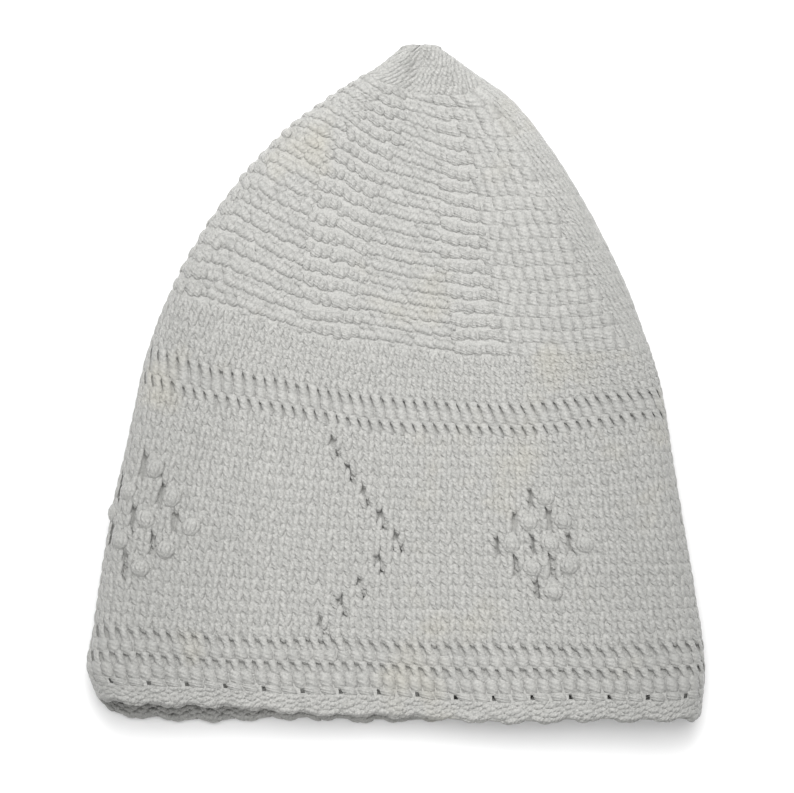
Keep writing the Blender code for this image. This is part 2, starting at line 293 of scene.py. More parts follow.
# The yarn: its plies, how often they turn along one strand, and how much they show beside the
# fibres. Each noise is a scale and a detail. Specks of grey follow the fibres, and stains are
# few. The folds are painted with shade, greyer by the metres from the middle, where the cap's
# sides turn away from the light. Each of these by the values from which and up to which it
# grows, and by how much it is at most.
PLIES, PLY_TURNS, PLY_RELIEF = 3, 1.5, 0.18
BUMP_STRENGTH, BUMP_DISTANCE = 0.8, 0.0005
YARN_ROUGHNESS, YARN_SHEEN, SHEEN_ROUGHNESS = 0.52, 0.25, 0.5
FIBRES, MOTTLE, SPOTS = (1300, 4), (260, 4), (28, 5)
SPECKS, PAINTED_FOLD_SHADE, STAINED = (0.42, 0.58, 0.6), (0.05, 0.12, 0.6), (0.60, 0.78, 0.35)
PATCHES = 0.5

# A place for one copy of a stitch: where it sits, its width as a share of a round, its height as
# a share of the cap's height, how far it is lifted out, how thick it is, and its lean.
Place = namedtuple("Place", "around down wide tall lift thick lean", defaults=(0.0, 1.0, 0.0))
Round = namedtuple("Round", "middle tall")
Template = namedtuple("Template", "points faces along turned")


def length(label, text, metres):
    """A length that a user may change."""
    return FloatProperty(name=label, description=text, default=metres, min=0.0, unit="LENGTH")


def colour(label, text, values):
    """A colour that a user may change."""
    return FloatVectorProperty(
        name=label, description=text, default=values, subtype="COLOR", size=3, min=0.0, max=1.0
    )


class KufiSizes(bpy.types.PropertyGroup):
    """The cap's sizes, which a user may change before crocheting it."""

    rim_width: length("Rim width", "Width of the flat cap at its opening", NODE_HIGH[0] - NODE_LOW[0])
    height: length("Height", "From the tip to the middle of the rim", 2 * NODE_HIGH[1])
    fold_thickness: length("Fold thickness", "Height of the flat cap at its folds", 0.022)
    wall: length("Wall", "Thickness of the crocheted cloth", 0.003)
    layer_shift: length(
        "Layer shift", "How far the lower layer stands out past the upper one at the rim", 0.0085
    )
    stitches: IntProperty(
        name="Stitches",
        description="Stitches in the widest round, three to a scallop",
        default=102,
        min=30,
    )
    crown_round: length("Crown round", "From one ribbed round of the crown to the next", 0.00558)
    tip_round: length("Tip round", "From one round at the tip to the next", 0.0034)
    tip_depth: length("Tip depth", "How far the fine rounds reach down from the tip", 0.0205)
    plain_depth: length("Plain depth", "Depth of the plain rounds over the upper openwork", 0.0190)
    band_depth: length("Band depth", "From the upper openwork to the lower one", 0.0892)
    openwork_pitch: length("Openwork pitch", "From one openwork round to the next", 0.0091)
    openwork_round: length("Openwork round", "Height of one openwork round", 0.0044)
    openwork_up: length("Openwork up", "From the rim to the lowest openwork round", 0.0182)
    eyelets_up: length("Eyelets up", "From the rim to the eyelets of the edging", 0.0089)
    scallop_depth: length("Scallop depth", "How far the rim draws back between its scallops", 0.0013)
    pattern_under_middle: length(
        "Pattern under middle", "How far the diamonds lie below the band's middle", 0.0028
    )
    band_round: length("Band round", "From one round of the band to the next", 0.00447)
    plain_round: length("Plain round", "From one round over the upper openwork to the next", 0.0040)
    tip_stitch: length("Tip stitch", "Width of a stitch at the tip", 0.0042)
    slit_depth: length("Slit depth", "How deep the slits dent the cloth", 0.0012)
    hole_depth: length(
        "Hole depth", "How deep the holes of the diamonds and chevrons dent the cloth", 0.0026
    )
    slit_height: length("Slit height", "Height of a slit in the openwork", 0.0036)
    eyelet_height: length(
        "Eyelet height", "Height of the round that holds the eyelets of the edging", 0.0032
    )
    hem_round: length("Hem round", "From one lying strand of the hem to the next", 0.0012)
    hem_strand: length("Hem strand", "Height that a lying strand of the hem is drawn over", 0.0034)
    cloth_depth: length("Cloth depth", "How far the cloth lies under the cap's outer surface", 0.0008)
    cloth_thickness: length("Cloth thickness", "Thickness of the cloth behind the stitches", 0.0008)
    inner_depth: length(
        "Inner depth", "How far the stitches of the inner side lie under the outer surface", 0.0022
    )
    groove_depth: length("Groove depth", "How far the ground of a ribbed wedge lies under its ribs", 0.0008)
    loft: FloatProperty(
        name="Loft",
        description="How full the yarn stands out of the cloth, as a share of its drawn height",
        default=0.35,
        min=0.1,
        max=2.0,
    )
    drift: length("Drift", "How far a round strays up and down, as worked by hand", 0.00045)
    sunk_in: length("Sunk in", "How far under the cap's outline the stitches' middles lie", 0.0008)
    pressed_in: length(
        "Pressed in", "How far the under side's stitches are pressed in where the cap lies", 0.0006
    )


class KufiColours(bpy.types.PropertyGroup):
    """The yarn's and the floor's colours."""

    yarn: colour("Yarn", "Off-white cotton", (0.442, 0.439, 0.420))
    # The darker end of the yarn's random mottle and specks, and also the painted shade at the folds.
    grey_and_fold_shade: colour("Grey yarn and fold shade", "Darker cotton for the random mottle, and painted shade at the folds", (0.315, 0.315, 0.302))
    stain: colour("Stain", "Faint yellow marks of age", (0.44, 0.41, 0.32))
    floor: colour("Floor", "Pale floor under the cap", (0.95, 0.95, 0.95))


def shape_at(down):
    """The outline's section at any depths, on smooth curves through the table's rows."""
    rows = np.array(SECTIONS)
    before = rows[np.clip(np.arange(len(rows)) - 1, 0, None)]
    after = rows[np.clip(np.arange(len(rows)) + 1, None, len(rows) - 1)]
    slopes = (after - before) / (after[:, :1] - before[:, :1])
    k = np.clip(np.searchsorted(rows[:, 0], down, side="right") - 1, 0, len(rows) - 2)
    step = (rows[k + 1, 0] - rows[k, 0])[..., None]
    t = (down[..., None] - rows[k, :1]) / step
    values = (
        (2 * t**3 - 3 * t**2 + 1) * rows[k]
        + (t**3 - 2 * t**2 + t) * step * slopes[k]
        + (3 * t**2 - 2 * t**3) * rows[k + 1]
        + (t**3 - t**2) * step * slopes[k + 1]
    )
    return Section(*np.moveaxis(values, -1, 0))


def perimeter(sizes, down):
    """The length around the rounds at any depths."""
    shape = shape_at(np.clip(np.asarray(down, dtype=float), TIP_RING, RIM_RING))
    half = (shape.right - shape.left) * sizes.rim_width / 2
    radius = np.minimum(shape.thick * sizes.fold_thickness / 2, FOLD_SHARE * half)
    return 4 * (half - radius) + 2 * math.pi * radius


def outside(sizes, down, around):
    """Points on the cap's smooth outer surface, closed over its tip and run on past its rim."""
    shape = shape_at(np.clip(down, TIP_RING, RIM_RING))
    left, right = shape.left * sizes.rim_width, shape.right * sizes.rim_width
    half = (right - left) / 2
    radius = np.minimum(shape.thick * sizes.fold_thickness / 2, FOLD_SHARE * half)
    flat = half - radius
    quarter = math.pi * radius / 2
    along = (around % 1.0) * 4 * (flat + quarter)
    upper = along <= 2 * (flat + quarter)
    along = np.where(upper, along, 4 * (flat + quarter) - along)
    on_left, on_right = along < quarter, along > quarter + 2 * flat
    turned = np.where(on_left, along, along - quarter - 2 * flat) / radius
    x = along - quarter - flat
    x = np.where(on_left, -flat - radius * np.cos(turned), x)
    x = np.where(on_right, flat + radius * np.sin(turned), x)
    lift = np.where(on_left, radius * np.sin(turned), radius)
    lift = np.where(on_right, radius * np.cos(turned), lift)
    z = radius + np.where(upper, lift, -lift)
    hollow = 2 * radius - 2 * sizes.wall
    sag = SAG_SHARE * hollow * np.maximum(0.0, 1 - (x / flat) ** 2) ** 2
    z = np.where(upper & (np.abs(x) < flat), z - sag, z)
    share = x / half
    lean, bow = (shape.left_up - shape.right_up) / 2, (shape.left_up + shape.right_up) / 2
    closing = np.clip(down / TIP_RING, 0.0, 1.0)
    narrowed = np.sqrt(np.maximum(0.0, 1 - (1 - closing) ** 2))
    climb = (bow * share**2 - lean * share) * narrowed
    low = np.maximum(0.0, 1 - z / (2 * radius)) ** SHIFT_GROWTH_UNDER
    shift = sizes.layer_shift * np.abs(down) ** SHIFT_GROWTH_DOWN * low
    shift = shift * np.maximum(0.0, SHIFT_ENDS - share) / (1 + SHIFT_ENDS)
    y = sizes.height * (0.5 - down + climb) - shift
    middle = (left + right) / 2
    return np.stack((middle + x * narrowed, y, radius + (z - radius) * narrowed), axis=-1)


def outward(sizes, down, around):
    """The surface's outward directions there."""
    step = DIRECTION_STEP
    down = np.maximum(down, 2 * step)
    across = outside(sizes, down, around + step) - outside(sizes, down, around - step)
    along = outside(sizes, down + step, around) - outside(sizes, down - step, around)
    normal = np.cross(along, across)
    return normal / np.maximum(np.linalg.norm(normal, axis=-1, keepdims=True), 1e-12)


def creased(sizes, down, around):
    """How deep the soft creases press the cloth in."""
    depth = np.zeros(down.shape)
    for crease in CREASES:
        share = (down - crease.start_down) / (crease.end_down - crease.start_down)
        middle = crease.start_around + share * (crease.end_around - crease.start_around)
        off = (around - middle) * perimeter(sizes, down) / crease.wide
        fade = np.clip(CREASE_ENDS * (1 - share), 0.0, 1.0)
        fade = fade * np.clip(CREASE_STARTS * share, 0.0, 1.0)
        depth += crease.deep * np.exp(-(off**2)) * fade
    return depth


def on_cloth(sizes, down, around, out):
    """Points at a height out of the surface, with its drift, scallops and creases.

    Where the cap lies on the floor its stitches press in.
    """
    down, around, out = np.broadcast_arrays(down, around, out)
    turn = 2 * math.pi
    drift = sum(np.sin(turn * (aside * around + below * down)) for aside, below in DRIFT_WAVES)
    under_eyelets = (down - up_from_rim(sizes, sizes.eyelets_up)) * sizes.height
    near_rim = np.clip(under_eyelets / sizes.eyelets_up, 0.0, 1.0)
    drawn = 0.5 + 0.5 * np.cos(turn * around * sizes.stitches / STITCHES_TO_A_SCALLOP)
    drawn = near_rim * sizes.scallop_depth * drawn**SCALLOP_POWER
    down = down + (drift * sizes.drift - drawn) / sizes.height
    down = np.maximum(down, CLOSEST_TO_TIP * TIP_RING)
    normal = outward(sizes, down, around)
    under = np.clip(-normal[..., 2:], 0.0, 1.0) ** 2
    sunk = sizes.sunk_in * np.clip(down / SUNK_FROM, 0.0, 1.0)
    out = out - sunk - creased(sizes, down, around)
    point = outside(sizes, down, around) + normal * (out[..., None] - under * sizes.pressed_in)
    point[..., 2] = np.maximum(point[..., 2], 0.0)
    return point


def up_from_rim(sizes, distance):
    """The depth of what lies a distance up from the rim."""
    return RIM_RING - distance / sizes.height


def fill_rounds(start, end, pitch):
    """Equal rounds from one depth to another, each about one pitch high."""
    count = max(1, round((end - start) / pitch))
    tall = (end - start) / count
    return [Round(start + (k + 0.5) * tall, tall) for k in range(count)]


def deselect_all():
    """Leaves edit mode and selects nothing."""
    if bpy.context.object and bpy.context.object.mode != "OBJECT":
        bpy.ops.object.mode_set(mode="OBJECT")
    bpy.ops.object.select_all(action="DESELECT")


def model_strand(name, rings, lying=False):
    """One strand: a circle pulled from ring to ring and closed at both ends.

    A standing strand runs down the stitch and a lying one across it. The mesh has X across the
    stitch, Y out of the cloth and Z down the cap.
    """
    deselect_all()
    turn = (0.0, math.pi / 2, 0.0) if lying else (0.0, 0.0, 0.0)
    first = rings[0]
    bpy.ops.mesh.primitive_circle_add(vertices=SIDES, radius=1.0, fill_type="NGON", rotation=turn)
    strand = bpy.context.object
    strand.name = name
    bpy.ops.object.transform_apply(location=False, rotation=True, scale=False)
    bpy.ops.object.mode_set(mode="EDIT")
    bpy.ops.mesh.select_all(action="SELECT")
    grown = spread(first.wide, first.thick, lying)
    bpy.ops.transform.resize(value=grown, center_override=(0.0, 0.0, 0.0))
    bpy.ops.transform.translate(value=(first.across, first.out, first.down))
    for before, ring in zip(rings, rings[1:]):
        step = (ring.across - before.across, ring.out - before.out, ring.down - before.down)
        bpy.ops.mesh.extrude_region_move(TRANSFORM_OT_translate={"value": step})
        grown = spread(ring.wide / before.wide, ring.thick / before.thick, lying)
        bpy.ops.transform.resize(value=grown, center_override=(ring.across, ring.out, ring.down))
    bpy.ops.mesh.select_all(action="SELECT")
    bpy.ops.mesh.normals_make_consistent(inside=False)
    bpy.ops.object.mode_set(mode="OBJECT")
    return strand


def spread(wide, thick, lying):
    """How far a ring is pulled out along X, Y and Z."""
    return (1.0, thick, wide) if lying else (wide, thick, 1.0)


def take_template(strands):
    """Joins modelled strands into one stitch's points and faces, and clears them away."""
    points, faces, along, turned = [], [], [], []
    for strand in strands:
        first = len(points)
        mesh = strand.data
        rings = len(mesh.vertices) // SIDES
        for k, vert in enumerate(mesh.vertices):
            points.append(tuple(vert.co))
            along.append((k // SIDES) / (rings - 1))
            turned.append((k % SIDES) / SIDES)
        for face in mesh.polygons:
            faces.append([first + k for k in face.vertices])
        bpy.data.objects.remove(strand)
        bpy.data.meshes.remove(mesh)
    return Template(np.array(points), faces, np.array(along), np.array(turned))


def stitch(name, *strands, lying=False):
    """One stitch, modelled from the ring tables of its strands."""
    made = [model_strand(f"{name}_{k}", rings, lying) for k, rings in enumerate(strands)]
    return take_template(made)


def stitch_points(sizes, template, places, inside=False):
    """Every copy's points on the cloth, or on its inner side, where both X and Y are mirrored."""
    place = Place(*(np.array(column)[:, None] for column in zip(*places)))
    across, out, below = template.points.T[:, None, :]
    side = -1.0 if inside else 1.0
    around = place.around + side * (across + place.lean * below) * place.wide
    down = place.down + below * place.tall
    width = place.wide * perimeter(sizes, place.down)
    height = side * (out * width * place.thick * sizes.loft + place.lift)
    return on_cloth(sizes, down, around, height - (sizes.inner_depth if inside else 0.0))


def add_piece(name, batches, seed):
    """One mesh piece from batches of (template, points of its copies)."""
    rng = np.random.default_rng(seed)
    corners, counts, points, strand_uv, shade = [], [], [], [], []
    used = 0
    for template, copies in batches:
        number, size = copies.shape[:2]
        loops = np.concatenate([np.array(face) for face in template.faces])
        lengths = np.array([len(face) for face in template.faces])
        starts = np.concatenate(([0], np.cumsum(lengths)[:-1]))
        turned = template.turned[loops].copy()
        for start, length in zip(starts, lengths):
            part = turned[start : start + length]
            if part.max() - part.min() > 0.6:
                part[part < 0.4] += 1.0
        uv = np.stack((turned, template.along[loops]), axis=-1)
        offset = used + np.arange(number)[:, None] * size
        corners.append((loops[None, :] + offset).ravel())
        counts.append(np.tile(lengths, number))
        points.append(copies.reshape(-1, 3))
        turns = rng.random((number, 1)) * 4
        strand_uv.append((uv[None] + np.stack((np.zeros_like(turns), turns), axis=-1)).reshape(-1, 2))
        shade.append(np.repeat(rng.random(number), size))
        used += number * size
    corners, counts = np.concatenate(corners), np.concatenate(counts)
    mesh = bpy.data.meshes.new(name)
    mesh.vertices.add(used)
    mesh.vertices.foreach_set("co", np.concatenate(points).astype(np.float32).ravel())
    mesh.loops.add(len(corners))
    mesh.loops.foreach_set("vertex_index", corners.astype(np.int32))
    mesh.polygons.add(len(counts))
    first_loops = np.concatenate(([0], np.cumsum(counts)[:-1]))
    mesh.polygons.foreach_set("loop_start", first_loops.astype(np.int32))
    mesh.update(calc_edges=True)
    layer = mesh.uv_layers.new(name="strand")
    layer.uv.foreach_set("vector", np.concatenate(strand_uv).astype(np.float32).ravel())
    tint = mesh.attributes.new("shade", "FLOAT", "POINT")
    tint.data.foreach_set("value", np.concatenate(shade).astype(np.float32))
    finish_piece(name, mesh)


def finish_piece(name, mesh):
    """Makes a yarn piece of a mesh, and says how it belongs to the cap."""
    mesh.shade_smooth()
    mesh.materials.append(yarn_material())
    piece = bpy.data.objects.new(name, mesh)
    bpy.context.scene.collection.objects.link(piece)
    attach(piece, "root")
    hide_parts(NODE)
    return piece


def fill_inputs(tree, node, inputs):
    """Sets a shader node's inputs, or links them to what other nodes give."""
    for key, value in dict(inputs).items():
        if isinstance(value, bpy.types.NodeSocket):
            tree.links.new(value, node.inputs[key])
        else:
            node.inputs[key].default_value = value


def add_node(tree, kind, inputs=(), **settings):
    """Adds a shader node, sets it up, and returns what it gives."""
    node = tree.nodes.new(kind)
    for key, value in settings.items():
        setattr(node, key, value)
    fill_inputs(tree, node, inputs)
    return node.outputs


def yarn_material():
    """Mercerised cotton: plies and fibres in its relief, a random grey mottle with painted shade at the
    folds, and faint stains.
    """
    material = bpy.data.materials.get("cotton_yarn")
    if material:
        return material
    colours = bpy.context.scene.kufi_colours
    material = bpy.data.materials.new("cotton_yarn")
    material.use_nodes = True
    tree = material.node_tree
    place = add_node(tree, "ShaderNodeTexCoord")["Object"]
    strand = add_node(tree, "ShaderNodeUVMap", uv_map="strand")["UV"]

    def calculated(operation, *inputs, use_clamp=False):
        settings = {"operation": operation, "use_clamp": use_clamp}
        return add_node(tree, "ShaderNodeMath", enumerate(inputs), **settings)[0]

    def noise(scale, detail):
        inputs = {"Scale": scale, "Detail": detail, "Vector": place}
        return add_node(tree, "ShaderNodeTexNoise", inputs)["Fac"]

    def spread_out(value, low, high, most):
        inputs = {"From Min": low, "From Max": high, "To Max": most, "Value": value}
        return add_node(tree, "ShaderNodeMapRange", inputs)["Result"]

    def mixed(share, start, end):
        inputs = {"Factor": share, "A": start, "B": end}
        return add_node(tree, "ShaderNodeMix", inputs, data_type="RGBA")["Result"]

    turn = add_node(tree, "ShaderNodeSeparateXYZ", {0: strand})
    turned = calculated("MULTIPLY_ADD", turn["Y"], PLY_TURNS, turn["X"])
    plies = calculated("SINE", calculated("MULTIPLY", turned, 2 * math.pi * PLIES))
    fibres = noise(*FIBRES)
    relief = calculated("MULTIPLY_ADD", plies, PLY_RELIEF, fibres)
    bump = {"Strength": BUMP_STRENGTH, "Distance": BUMP_DISTANCE, "Height": relief}

    tint = add_node(tree, "ShaderNodeAttribute", attribute_name="shade")["Fac"]
    patchy = calculated("MULTIPLY", tint, noise(*MOTTLE))
    specks = spread_out(fibres, *SPECKS)
    greyed = calculated("MULTIPLY_ADD", patchy, PATCHES, specks, use_clamp=True)
    # Painted shade: the colour greys towards the folds, by the distance from the middle, where the sides
    # turn away from the light.
    aside = calculated("ABSOLUTE", add_node(tree, "ShaderNodeSeparateXYZ", {0: place})["X"])
    grey = calculated("ADD", greyed, spread_out(aside, *PAINTED_FOLD_SHADE), use_clamp=True)
    base = mixed(grey, (*colours.yarn, 1.0), (*colours.grey_and_fold_shade, 1.0))
    stains = spread_out(noise(*SPOTS), *STAINED)

    inputs = {
        "Roughness": YARN_ROUGHNESS,
        "Sheen Weight": YARN_SHEEN,
        "Sheen Roughness": SHEEN_ROUGHNESS,
        "Normal": add_node(tree, "ShaderNodeBump", bump)["Normal"],
        "Base Color": mixed(stains, base, (*colours.stain, 1.0)),
    }
    fill_inputs(tree, tree.nodes["Principled BSDF"], inputs)
    return material


def even_round(sizes, one, lift=0.0, phase=0.0):
    """A round of the widest number of stitches."""
    wide = 1 / sizes.stitches
    return [
        Place((k + phase) * wide, one.middle, wide, one.tall, lift) for k in range(sizes.stitches)
    ]


def jittered(places, seed, amount):
    """The same places, each a little off, as a hand makes them."""
    rng = np.random.default_rng(seed)
    made = []
    for place in places:
        aside, below, raised, swollen, leant = rng.uniform(-amount, amount, 5)
        made.append(
            place._replace(
                around=place.around + aside * place.wide,
                down=place.down + below * place.tall,
                lift=place.lift + raised * LIFT_STRAY,
                thick=place.thick * (1 + 2 * swollen),
                lean=place.lean + leant,
            )
        )
    return made


def clear_of(sizes, places, holes, side):
    """The places whose strand, a share of a stitch to one side, leaves every hole open."""
    spots = np.array([(place.around + side * place.wide, place.down) for place in places])
    off = spots[:, None, :] - np.array(holes)[None, :, :]
    stitches_off = np.abs((off[..., 0] + 0.5) % 1.0 - 0.5) * sizes.stitches
    rounds_off = np.abs(off[..., 1]) * sizes.height / sizes.band_round
    closed = ((stitches_off < HOLE_REACH[0]) & (rounds_off < HOLE_REACH[1])).any(axis=1)
    return [place for place, shut in zip(places, closed) if not shut]


def batch(sizes, template, places, seed, amount=STRAY, inside=False):
    """One stitch and the points of its copies, which stray a little from their places."""
    return template, stitch_points(sizes, template, jittered(places, seed, amount), inside)


def leg_batches(sizes, places, seed, inside=False, holes=()):
    """Plain stitches at the places: their left and their right legs, with the holes left open."""
    batches = []
    for more, (name, rings, side) in enumerate(LEGS):
        leg = stitch(name, rings)
        open_places = clear_of(sizes, places, holes, side) if len(holes) else places
        batches.append(batch(sizes, leg, open_places, seed + more, inside=inside))
    return batches


def add_plain_piece(sizes, name, rounds, seed, inside=False, holes=()):
    """One piece of rounds of plain stitches."""
    places = [place for one in rounds for place in even_round(sizes, one)]
    add_piece(name, leg_batches(sizes, places, seed, inside, holes), seed)


def lower_openwork_top(sizes):
    """How far up from the rim the upper of the two lower openwork rounds lies."""
    return sizes.openwork_up + sizes.openwork_pitch


def upper_openwork_up(sizes):
    """How far up from the rim the lower of the two upper openwork rounds lies."""
    return lower_openwork_top(sizes) + sizes.band_depth


def band_rounds(sizes):
    """The band's rounds between the openworks."""
    half_open = sizes.openwork_round / 2
    start = up_from_rim(sizes, upper_openwork_up(sizes) - half_open)
    end = up_from_rim(sizes, lower_openwork_top(sizes) + half_open)
    return fill_rounds(start, end, sizes.band_round / sizes.height)


def crown_end(sizes):
    """Where the crown's ribbed rounds stop."""
    up = upper_openwork_up(sizes) + sizes.openwork_pitch + sizes.openwork_round / 2
    return up_from_rim(sizes, up + sizes.plain_depth)


def pattern_middle(sizes):
    """The depth of the diamonds' middles."""
    up = lower_openwork_top(sizes) + sizes.band_depth / 2 - sizes.pattern_under_middle
    return up_from_rim(sizes, up)


def diamond_places(sizes, diamond):
    """Three by three clusters on their corner, counted in stitches and rounds."""
    step = ROUNDS_TO_A_STEP * band_rounds(sizes)[0].tall
    return [
        (
            diamond.around + (i - j) * diamond.columns / sizes.stitches,
            pattern_middle(sizes) + (i + j) * step,
        )
        for i in (-1, 0, 1)
        for j in (-1, 0, 1)
    ]


def chevron_places(sizes, diamond):
    """One arm down to the chevron's point and one back, its point towards the diamond."""
    step = ROUNDS_TO_A_STEP * band_rounds(sizes)[0].tall
    point = diamond.around - CHEVRON_BEFORE_DIAMOND / sizes.stitches
    return [
        (point - abs(k) * CHEVRON_COLUMNS / sizes.stitches, pattern_middle(sizes) + k * step)
        for k in range(-CHEVRON_STEPS, CHEVRON_STEPS + 1)
    ]


def pattern_holes(sizes):
    """The holes before the diamonds' clusters, and the chevrons' pairs of holes."""
    holes = []
    tall = band_rounds(sizes)[0].tall
    for diamond in DIAMONDS:
        for places, offsets in (
            (diamond_places(sizes, diamond), CLUSTER_HOLES),
            (chevron_places(sizes, diamond), CHEVRON_HOLES),
        ):
            for around, down in places:
                for below, aside in offsets:
                    holes.append(on_leg(sizes, around + aside / sizes.stitches, down + below * tall))
    return holes


def open_holes(sizes):
    """The hole at the point of each chevron, the only ones in the band that go right through."""
    holes = []
    for diamond in DIAMONDS:
        around, down = chevron_places(sizes, diamond)[CHEVRON_STEPS]
        holes.append(on_leg(sizes, around, down))
    return holes


def on_leg(sizes, around, down):
    """The nearest single leg of a plain stitch in the band, so that a hole takes its place."""
    rounds = band_rounds(sizes)
    leg = (round(2 * around * sizes.stitches - 0.5) + 0.5) / 2
    nearest = min(rounds, key=lambda one: abs(one.middle - down))
    return leg / sizes.stitches, nearest.middle


class KUFI_OT_band(bpy.types.Operator):
    """Crochets the plain band between the two openworks"""

    bl_idname = "kufi.band"
    bl_label = "Band"

    def execute(self, context):
        sizes = context.scene.kufi_sizes
        rounds = band_rounds(sizes)
        holes = pattern_holes(sizes)
        half = len(rounds) // 2
        add_plain_piece(sizes, "upper_band", rounds[:half], 11, holes=holes)
        add_plain_piece(sizes, "lower_band", rounds[half:], 13, holes=holes)
        return {"FINISHED"}


class KUFI_OT_inner_side(bpy.types.Operator):
    """Crochets the band's inner side as far as it shows through the opening"""

    bl_idname = "kufi.inner_side"
    bl_label = "Inner side"

    def execute(self, context):
        sizes = context.scene.kufi_sizes
        rounds = band_rounds(sizes)[-INNER_ROUNDS:]
        add_plain_piece(sizes, "inner_rounds", rounds, 15, inside=True, holes=pattern_holes(sizes))
        return {"FINISHED"}


class KUFI_OT_plain_rounds(bpy.types.Operator):
    """Crochets the plain rounds over the upper openwork"""

    bl_idname = "kufi.plain_rounds"
    bl_label = "Plain rounds"

    def execute(self, context):
        sizes = context.scene.kufi_sizes
        start = crown_end(sizes)
        end = start + sizes.plain_depth / sizes.height
        rounds = fill_rounds(start, end, sizes.plain_round / sizes.height)
        add_plain_piece(sizes, "plain_rounds", rounds, 21)
        return {"FINISHED"}


class KUFI_OT_openwork(bpy.types.Operator):
    """Crochets the openwork: two rounds of slanted posts with slits, and smooth ones between"""

    bl_idname = "kufi.openwork"
    bl_label = "Openwork"

    def execute(self, context):
        sizes = context.scene.kufi_sizes
        open_post = stitch("open_post", OPEN_POST)
        close_post = stitch("close_post", CLOSE_POST)
        smooth_post = stitch("smooth_post", SMOOTH_POST)
        open_tall = sizes.openwork_round / sizes.height
        between_tall = (sizes.openwork_pitch - sizes.openwork_round) / sizes.height
        for name, slanted, up, seed, sides in (
            ("lower_openwork", open_post, sizes.openwork_up, 31, (False, True)),
            ("upper_openwork", close_post, upper_openwork_up(sizes), 34, (False,)),
        ):
            slits = []
            for step in (0, 1):
                middle = up_from_rim(sizes, up + step * sizes.openwork_pitch)
                slits += even_round(sizes, Round(middle, open_tall))
            middle = up_from_rim(sizes, up + sizes.openwork_pitch / 2)
            between = even_round(sizes, Round(middle, between_tall), phase=BETWEEN_SHIFT)
            batches = []
            for inside in sides:
                batches.append(batch(sizes, slanted, slits, seed, POST_STRAY, inside))
                batches.append(batch(sizes, smooth_post, between, seed + 1, POST_STRAY, inside))
            add_piece(name, batches, seed)
        return {"FINISHED"}


class KUFI_OT_crown(bpy.types.Operator):
    """Crochets the crown's ribbed and fine wedges"""

    bl_idname = "kufi.crown"
    bl_label = "Crown"

    def execute(self, context):
        sizes = context.scene.kufi_sizes
        scale = stitch("scale", SCALE, lying=True)
        stroke = stitch("fine_stroke", FINE_LEFT, FINE_RIGHT)
        knob = stitch("rib_knob", RIB_KNOB)
        brick = stitch("brick", BRICK)
        start = sizes.tip_depth / sizes.height
        scales, strokes, bricks, grounds, knobs = [], [], [], [], []
        rounds = fill_rounds(start, crown_end(sizes), sizes.crown_round / sizes.height)
        for step, one in enumerate(rounds):
            for places, looks in wedge_places(sizes, one, step):
                if looks == SCALES:
                    scales += scale_rows(sizes, places)
                elif looks == STROKES:
                    strokes += [place._replace(thick=STROKE_THICK) for place in places]
                elif looks == BRICKS:
                    bricks += [place._replace(thick=BRICK_THICK) for place in places]
                else:
                    grounds += [place._replace(lift=-sizes.groove_depth) for place in places]
                    for aside in (-KNOB_ASIDE, KNOB_ASIDE):
                        for place in places:
                            around = place.around + aside * place.wide
                            knobs.append(place._replace(around=around, thick=KNOB_THICK))
        scale_batch = batch(sizes, scale, scales, 41, CROWN_STRAY)
        stroke_batch = batch(sizes, stroke, strokes, 45)
        brick_batch = batch(sizes, brick, bricks, 46)
        add_piece("fine_wedges", [scale_batch, stroke_batch, brick_batch], 41)
        knob_batch = batch(sizes, knob, knobs, 44, CROWN_STRAY)
        add_piece("ribbed_wedges", [*leg_batches(sizes, grounds, 42), knob_batch], 42)
        return {"FINISHED"}


def scale_rows(sizes, places):
    """Two staggered rows of scales to a round, the upper one raised over the lower."""
    rows = []
    for place in places:
        for side in (-1, 1):
            rows.append(
                place._replace(
                    around=place.around + SCALE_ASIDE * side * place.wide,
                    down=place.down + SCALE_ASIDE * side * place.tall,
                    tall=place.tall / 2,
                    thick=SCALE_THICK,
                    lift=-SCALE_OVERLAP * side * sizes.groove_depth,
                )
            )
    return rows


def wedge_places(sizes, one, step):
    """A crown round's places, wedge by wedge, each with what it looks like."""
    start = 0.0
    length = float(perimeter(sizes, one.middle))
    pitch = float(perimeter(sizes, crown_end(sizes))) / sizes.stitches
    turned = (crown_end(sizes) - one.middle) / (crown_end(sizes) - WEDGES_TURN_FROM)
    for wedge in WEDGES:
        end = wedge.low + min(turned, 1.0) * (wedge.high - wedge.low)
        share = end - start
        count = max(1, round(share * length / pitch))
        wide = share / count
        phase = 0.5 + BRICK_STAGGER * (-1) ** step * (wedge.looks == BRICKS)
        places = [
            Place(start + (k + phase) * wide, one.middle, wide, one.tall) for k in range(count)
        ]
        yield places, wedge.looks
        start = end


class KUFI_OT_tip(bpy.types.Operator):
    """Crochets the fine rounds that close the tip"""

    bl_idname = "kufi.tip"
    bl_label = "Tip"

    def execute(self, context):
        sizes = context.scene.kufi_sizes
        fine = stitch("tip_stroke", TIP_LEFT, TIP_RIGHT)
        places = []
        rounds = fill_rounds(0.0, sizes.tip_depth / sizes.height, sizes.tip_round / sizes.height)
        for one in rounds:
            count = max(TIP_LEAST, round(float(perimeter(sizes, one.middle)) / sizes.tip_stitch))
            for k in range(count):
                place = Place((k + 0.5) / count, one.middle, 1 / count, one.tall)
                places.append(place._replace(thick=TIP_THICK, lean=TIP_LEAN))
        add_piece("tip_rounds", [batch(sizes, fine, places, 51)], 51)
        return {"FINISHED"}


